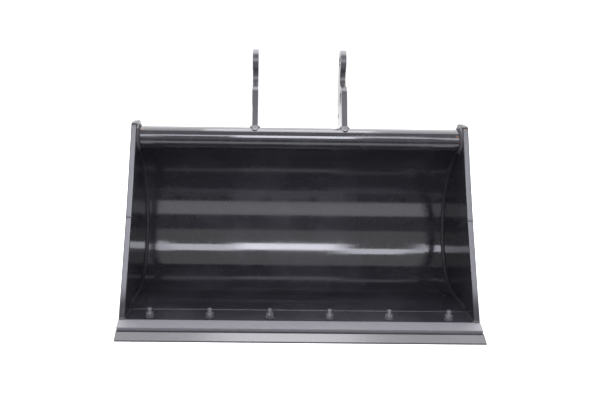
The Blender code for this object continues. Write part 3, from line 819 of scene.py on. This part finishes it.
def bolt_surface(x, start, columns=40):
    """Radius at height z and angle a: the head's cone or the shank, less the thread's dip.

    The dip is depth * |2 * fraction(z / pitch - a / turn) - 1|, and it fades in above the washer.
    Near the tip the radius is also no more than the chamfer's cone.
    """
    threaded = np.arange(WASHER_TOP, TIP, PITCH / 8)
    head = [HEAD_FACE, HEAD_FACE + HEAD_RIM, HEAD_FACE + HEAD_H]
    z = np.concatenate([head, [-0.002], threaded, [TIP]])
    cone = np.interp(z, head + [0.1], [HEAD_R, HEAD_R, BOLT_R, BOLT_R])
    angle = np.linspace(0, math.tau, columns, endpoint=False)
    turns = z[:, None] / PITCH - angle / math.tau + start
    dip = THREAD_DEPTH * np.abs(2 * (turns % 1) - 1) * np.clip((z[:, None] - WASHER_TOP) / PITCH, 0, 1)
    chamfer = BOLT_R - TIP_CHAMFER + np.maximum(TIP - z, 0)
    radius = np.minimum(cone[:, None] - dip, chamfer[:, None])
    return np.stack([x + radius * np.cos(angle), BOLT_Y + radius * np.sin(angle),
                     np.broadcast_to(z[:, None], radius.shape)], -1) + STEP


BOLT_X = np.array([sum(corner.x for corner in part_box(f"plow_bolt_{number}")) / 2
                   for number in range(1, 7)])
for number, x in enumerate(BOLT_X, 1):
    mesh = skin(f"threaded_bolt_{number}", bolt_surface(x, rng.uniform(0, 1)))
    join_frame(mesh, f"threaded_bolt_{number}", fastener_paint,
               [f"plow_bolt_{number}"], 50.0)
print("bolts at", np.round(BOLT_X, 3))

# %% Hex nuts
NUT_FLAT, FACE_SHARE, CORNER_ROUND, NUT_CHAMFER = 0.012, 0.95, 40, math.radians(30)
FIRST_TURN, TURN_STEP = 11, 23


def nut_surface(x, turn, columns=96):
    """Outline radius: the six flats' distances blended, flat / (sum of cos^n)^(1/n), to round corners.

    The section runs from the bore over the top face, down the outside and back under the nut. The
    outside rows start lower where the outline reaches past the face, by that reach times tan 30.
    """
    angle = np.linspace(0, math.tau, columns, endpoint=False)
    faces = np.cos(angle[:, None] - turn - np.arange(6) * math.tau / 6)
    outline = NUT_FLAT / (np.maximum(faces, 0) ** CORNER_ROUND).sum(1) ** (1 / CORNER_ROUND)
    face = np.full(columns, NUT_FLAT * FACE_SHARE)
    drop = (outline - face) * math.tan(NUT_CHAMFER)
    half = NUT_H / 2
    bore, mouth = np.full(columns, BOLT_R + 0.0002), np.full(columns, BOLT_R + 0.0012)
    flat_z = np.full(columns, half)
    radius = np.stack([bore, mouth, face, outline, outline, face, mouth, bore])
    z = np.stack([flat_z - 0.001, flat_z, flat_z, flat_z - drop, drop - flat_z, -flat_z, -flat_z, 0.001 - flat_z])
    middle = WASHER_TOP + half
    ring = np.stack([x + radius * np.cos(angle), BOLT_Y + radius * np.sin(angle), middle + z], -1) + STEP
    return ring.transpose(1, 0, 2)


for number, x in enumerate(BOLT_X, 1):
    turn = math.radians(FIRST_TURN + TURN_STEP * (number - 1))
    mesh = skin(f"painted_nut_{number}", nut_surface(x, turn), joined=True)
    join_frame(mesh, f"painted_nut_{number}", fastener_paint, [f"hex_nut_{number}"], 24.0)
print("nuts made")


# %% [markdown]
# ## Camera, floor and light
# The view is from a little above and a long way back, as a catalogue shows a bucket. Gloss paint
# shows what is around it more than its own colour, so the light is what shapes it: broad white
# panels overhead, and a row of them in front whose reflections roll along the heel as bright bars.

# %% Camera
def aim(camera, eye, pitch, yaw, roll):
    """Stand a camera at a point; pitch is down, yaw to the right and roll clockwise, in degrees."""
    pitch, yaw, roll = map(math.radians, (pitch, yaw, roll))
    ahead = np.array([math.sin(yaw) * math.cos(pitch), math.cos(yaw) * math.cos(pitch), -math.sin(pitch)])
    level = np.array([math.cos(yaw), -math.sin(yaw), 0.0])
    upright = np.cross(level, ahead)
    right = math.cos(roll) * level + math.sin(roll) * upright
    up = -math.sin(roll) * level + math.cos(roll) * upright
    pose = np.eye(4)
    pose[:3] = np.column_stack([right, up, -ahead, eye])
    camera.matrix_world = Matrix(pose.tolist())


LENS_SHIFT = 0.0433333333
lens = bpy.data.cameras.new("catalogue_camera")
lens.sensor_width, lens.lens, lens.shift_x = 36.0, 51.0, LENS_SHIFT
lens.clip_start, lens.clip_end = 0.05, 60.0
camera = bpy.data.objects.new("catalogue_camera", lens)
bpy.context.scene.collection.objects.link(camera)
bpy.context.scene.camera = camera
aim(camera, np.array([-0.134, -2.666, 0.991]) + STEP, 12.31, 0.91, 0.85)
print("camera at", np.round(camera.matrix_world.translation, 3))

# %% Floor
FLOOR_SIZE = 14.0


def pale_floor():
    """A flat square, a grid of corners at height 0."""
    corner = FLOOR_SIZE / 2
    mesh = bpy.data.meshes.new("pale_floor")
    mesh.from_pydata([(-corner, -corner, 0), (corner, -corner, 0), (corner, corner, 0), (-corner, corner, 0)],
                     [], [(0, 1, 2, 3)])
    finish = Finish("pale_floor")
    mottle = finish.noise(3.0, 3.0)
    mesh.materials.append(finish.finish_with(
        finish.blend(mottle, (0.90, 0.90, 0.90, 1.0), (0.93, 0.93, 0.93, 1.0)), 0.85, finish.bumps((mottle, 0.0))))
    floor = bpy.data.objects.new("pale_floor", mesh)
    bpy.context.scene.collection.objects.link(floor)


pale_floor()

# %% Light
def panel(name, centre, target, width, height, strength, tint=(1.0, 1.0, 1.0)):
    """A flat white panel that faces a point; strength is its brightness, whatever its size."""
    light = bpy.data.lights.new(name, 'AREA')
    light.shape, light.size, light.size_y = 'RECTANGLE', width, height
    light.energy = strength * width * height * math.pi
    light.color = tint
    lamp = bpy.data.objects.new(name, light)
    back = np.asarray(centre, float) - np.asarray(target, float)
    back /= np.linalg.norm(back)
    right = np.cross((0, 1, 0) if abs(back[2]) > 0.9 else (0, 0, 1), back)
    right /= np.linalg.norm(right)
    pose = np.eye(4)
    pose[:3] = np.column_stack([right, np.cross(back, right), back, centre])
    lamp.matrix_world = Matrix(pose.tolist())
    bpy.context.scene.collection.objects.link(lamp)


ROOM_STRENGTH = 1.08
world = bpy.data.worlds.new("white_room")
world.use_nodes = True
world.node_tree.nodes["Background"].inputs["Color"].default_value = (1.0, 1.0, 1.0, 1.0)
world.node_tree.nodes["Background"].inputs["Strength"].default_value = ROOM_STRENGTH
bpy.context.scene.world = world
WALL_Y = -2.1
COOL, BLUE = (0.955, 0.95, 1.0), (0.88, 0.89, 1.0)
panel("overhead_near", (0.0, 0.70, 3.2), (0.0, 0.70, 0.0), 5.0, 1.5, 4.6, COOL)
panel("overhead_middle", (0.05, 0.70, 3.1), (0.05, 0.70, 0.0), 1.1, 1.5, 6.0, COOL)
panel("overhead_far", (0.0, 2.75, 3.2), (0.0, 2.75, 0.0), 5.0, 2.6, 3.6, COOL)
for name, left, right, low, high, strength in (
        ("front_middle", -0.30, 0.46, 1.36, 2.10, 18.0), ("front_left", -0.78, -0.30, 1.50, 2.25, 9.5),
        ("front_right", 0.46, 0.97, 1.85, 2.60, 9.5), ("front_far_left", -1.70, -0.78, 1.25, 2.35, 7.0),
        ("front_far_right", 0.97, 1.90, 1.25, 2.35, 6.0)):
    middle = ((left + right) / 2, WALL_Y, (low + high) / 2)
    panel(name, middle, (middle[0], 0.0, middle[2]), right - left, high - low, strength, BLUE)

# %% [markdown]
# In a studio a dark card stands on the floor in front of shiny work, out of view, so that
# the reflection of the floor ends in a crisp line. Here the card is seen by reflections only.

# %% Dark card
CARD_Y, CARD_LOW, CARD_HIGH, CARD_HALF = -1.10, 0.005, 0.43, 2.2


def dark_card():
    """An upright rectangle across the front."""
    mesh = bpy.data.meshes.new("dark_card")
    mesh.from_pydata([(-CARD_HALF, CARD_Y, CARD_LOW), (CARD_HALF, CARD_Y, CARD_LOW),
                      (CARD_HALF, CARD_Y, CARD_HIGH), (-CARD_HALF, CARD_Y, CARD_HIGH)], [], [(0, 3, 2, 1)])
    finish = Finish("dark_card")
    felt = finish.noise(40.0, 3.0)
    mesh.materials.append(finish.finish_with(
        finish.blend(felt, (0.08, 0.08, 0.085, 1.0), (0.12, 0.12, 0.125, 1.0)), 0.9, finish.bumps((felt, 0.001))))
    card = bpy.data.objects.new("dark_card", mesh)
    bpy.context.scene.collection.objects.link(card)
    card.visible_camera = card.visible_diffuse = card.visible_shadow = card.visible_transmission = False


dark_card()
bpy.context.scene.view_settings.view_transform = 'Standard'
